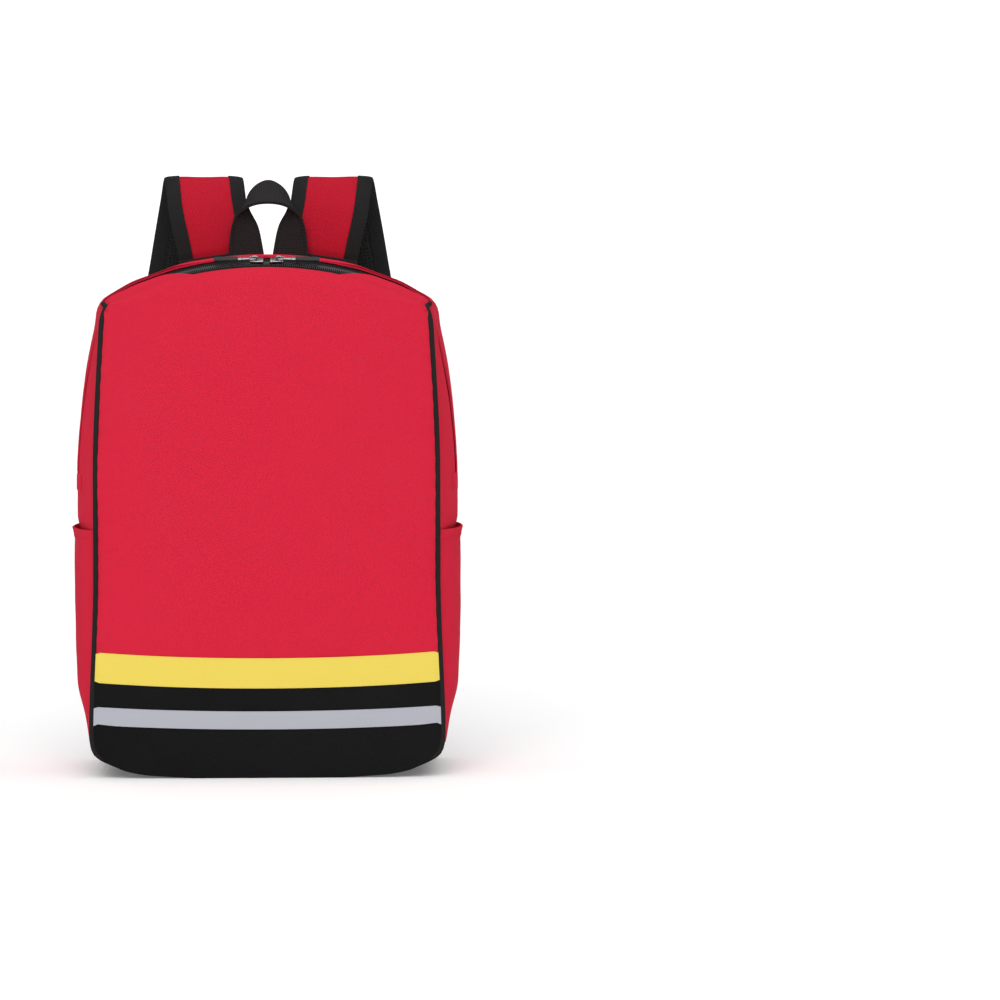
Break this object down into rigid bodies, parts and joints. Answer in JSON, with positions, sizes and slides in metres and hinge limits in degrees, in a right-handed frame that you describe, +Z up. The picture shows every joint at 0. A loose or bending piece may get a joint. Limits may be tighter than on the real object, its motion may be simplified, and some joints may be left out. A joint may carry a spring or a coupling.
{
  "type": "trauma backpack",
  "caption": "Soft red backpack for first responders with an arched two-way zip, black base, reflective bands, side pockets, haul handle and padded shoulder straps.",
  "frame": {"origin": "middle of the flat base, level with the ground", "axes": "+Z up, the striped front faces -Y, the shoulder straps are on +Y, +X to the right seen from the front"},
  "size_m": [0.3274, 0.1924, 0.5023],
  "materials": {
    "red_cloth": "matt 600 denier polyester weave",
    "black_cloth": "matt 600 denier polyester weave",
    "yellow_tape": "ribbed grosgrain tape with woven selvedges",
    "silver_tape": "glass-bead reflective tape, stitched at both edges",
    "black_mesh": "knitted spacer mesh",
    "black_webbing": "ribbed polypropylene webbing",
    "black_binding": "grosgrain edge binding",
    "grey_lining": "thin taffeta lining",
    "zip_tape": "fine twill zip tape",
    "zip_teeth": "nylon coil",
    "zip_metal": "nickel-plated die casting",
    "tab_rubber": "matt moulded rubber",
    "black_plastic": "moulded acetal",
    "foam": "closed-cell foam",
    "board": "pressed fibre board"
  },
  "bodies": {
    "pack": {"front_panel_lower": "red_cloth", "front_base_panel": "black_cloth", "yellow_stripe": "yellow_tape", "reflective_stripe": "silver_tape", "bottom_panel": "black_cloth", "base_board": "board", "side_panel_left": "red_cloth", "side_panel_right": "red_cloth", "top_panel": "red_cloth", "rain_flap": "red_cloth", "zip_tape_rear": "zip_tape", "zip_teeth_rear": "zip_teeth", "zip_end_tabs": "red_cloth", "back_panel": "black_cloth", "back_foam": "foam", "back_pad": "black_mesh", "yoke": "black_webbing", "body_lining": "grey_lining", "inner_sleeve": "grey_lining", "sleeve_binding": "black_binding", "side_pocket_left": "red_cloth", "side_pocket_right": "red_cloth", "pocket_hem_left": "red_cloth", "pocket_hem_right": "red_cloth", "piping_lower": "black_binding", "strap_roots": "black_webbing", "strap_anchor_left": "black_webbing", "strap_anchor_right": "black_webbing"},
    "front_flap": {"front_panel_upper": "red_cloth", "flap_gusset_left": "red_cloth", "flap_gusset_right": "red_cloth", "zip_tape_front": "zip_tape", "zip_teeth_front": "zip_teeth", "piping_upper": "black_binding", "flap_lining": "grey_lining"},
    "slider_body_left": {"slider_left": "zip_metal"},
    "slider_body_right": {"slider_right": "zip_metal"},
    "pull_left": {"pull_link_left": "zip_metal", "pull_tab_left": "tab_rubber"},
    "pull_right": {"pull_link_right": "zip_metal", "pull_tab_right": "tab_rubber"},
    "haul_handle": {"haul_handle": "black_webbing"},
    "strap_left": {"strap_pad_left": "red_cloth", "strap_binding_left": "black_binding", "strap_mesh_left": "black_mesh", "strap_webbing_left": "black_webbing", "ladder_lock_left": "black_plastic"},
    "strap_right": {"strap_pad_right": "red_cloth", "strap_binding_right": "black_binding", "strap_mesh_right": "black_mesh", "strap_webbing_right": "black_webbing", "ladder_lock_right": "black_plastic"}
  },
  "joints": [
    {"name": "flap_fold", "type": "hinge", "parent": "pack", "child": "front_flap", "pos_m": [0, -0.06332, 0.25], "axis": [1, 0, 0], "range_deg": [0, 40]},
    {"name": "slider_run_left", "type": "hinge", "parent": "front_flap", "child": "slider_body_left", "pos_m": [0, -0.02, 0.087], "axis": [0, -1, 0], "range_deg": [0, 13.4]},
    {"name": "slider_run_right", "type": "hinge", "parent": "front_flap", "child": "slider_body_right", "pos_m": [0, -0.02, 0.087], "axis": [0, 1, 0], "range_deg": [0, 13.4]},
    {"name": "pull_swing_left", "type": "hinge", "parent": "slider_body_left", "child": "pull_left", "pos_m": [-0.01006, -0.02094, 0.43144], "axis": [-0.0085, 0.9398, 0.3416], "range_deg": [0, 110]},
    {"name": "pull_swing_right", "type": "hinge", "parent": "slider_body_right", "child": "pull_right", "pos_m": [0.01006, -0.02094, 0.43144], "axis": [-0.0085, -0.9398, -0.3416], "range_deg": [0, 110]},
    {"name": "handle_fold", "type": "hinge", "parent": "pack", "child": "haul_handle", "pos_m": [0, 0.061, 0.425], "axis": [1, 0, 0], "range_deg": [-3, 64]},
    {"name": "strap_swing_left", "type": "hinge", "parent": "pack", "child": "strap_left", "pos_m": [-0.0436, 0.0719, 0.431], "axis": [0.1805, 0.0084, 0.9835], "range_deg": [-6, 6]},
    {"name": "strap_swing_right", "type": "hinge", "parent": "pack", "child": "strap_right", "pos_m": [0.0436, 0.0719, 0.431], "axis": [0.1805, -0.0084, -0.9835], "range_deg": [-6, 6]}
  ],
  "couplings": [
    {"joint": "slider_run_left", "follows": "flap_fold", "ratio": 0.335},
    {"joint": "slider_run_right", "follows": "flap_fold", "ratio": 0.335}
  ]
}
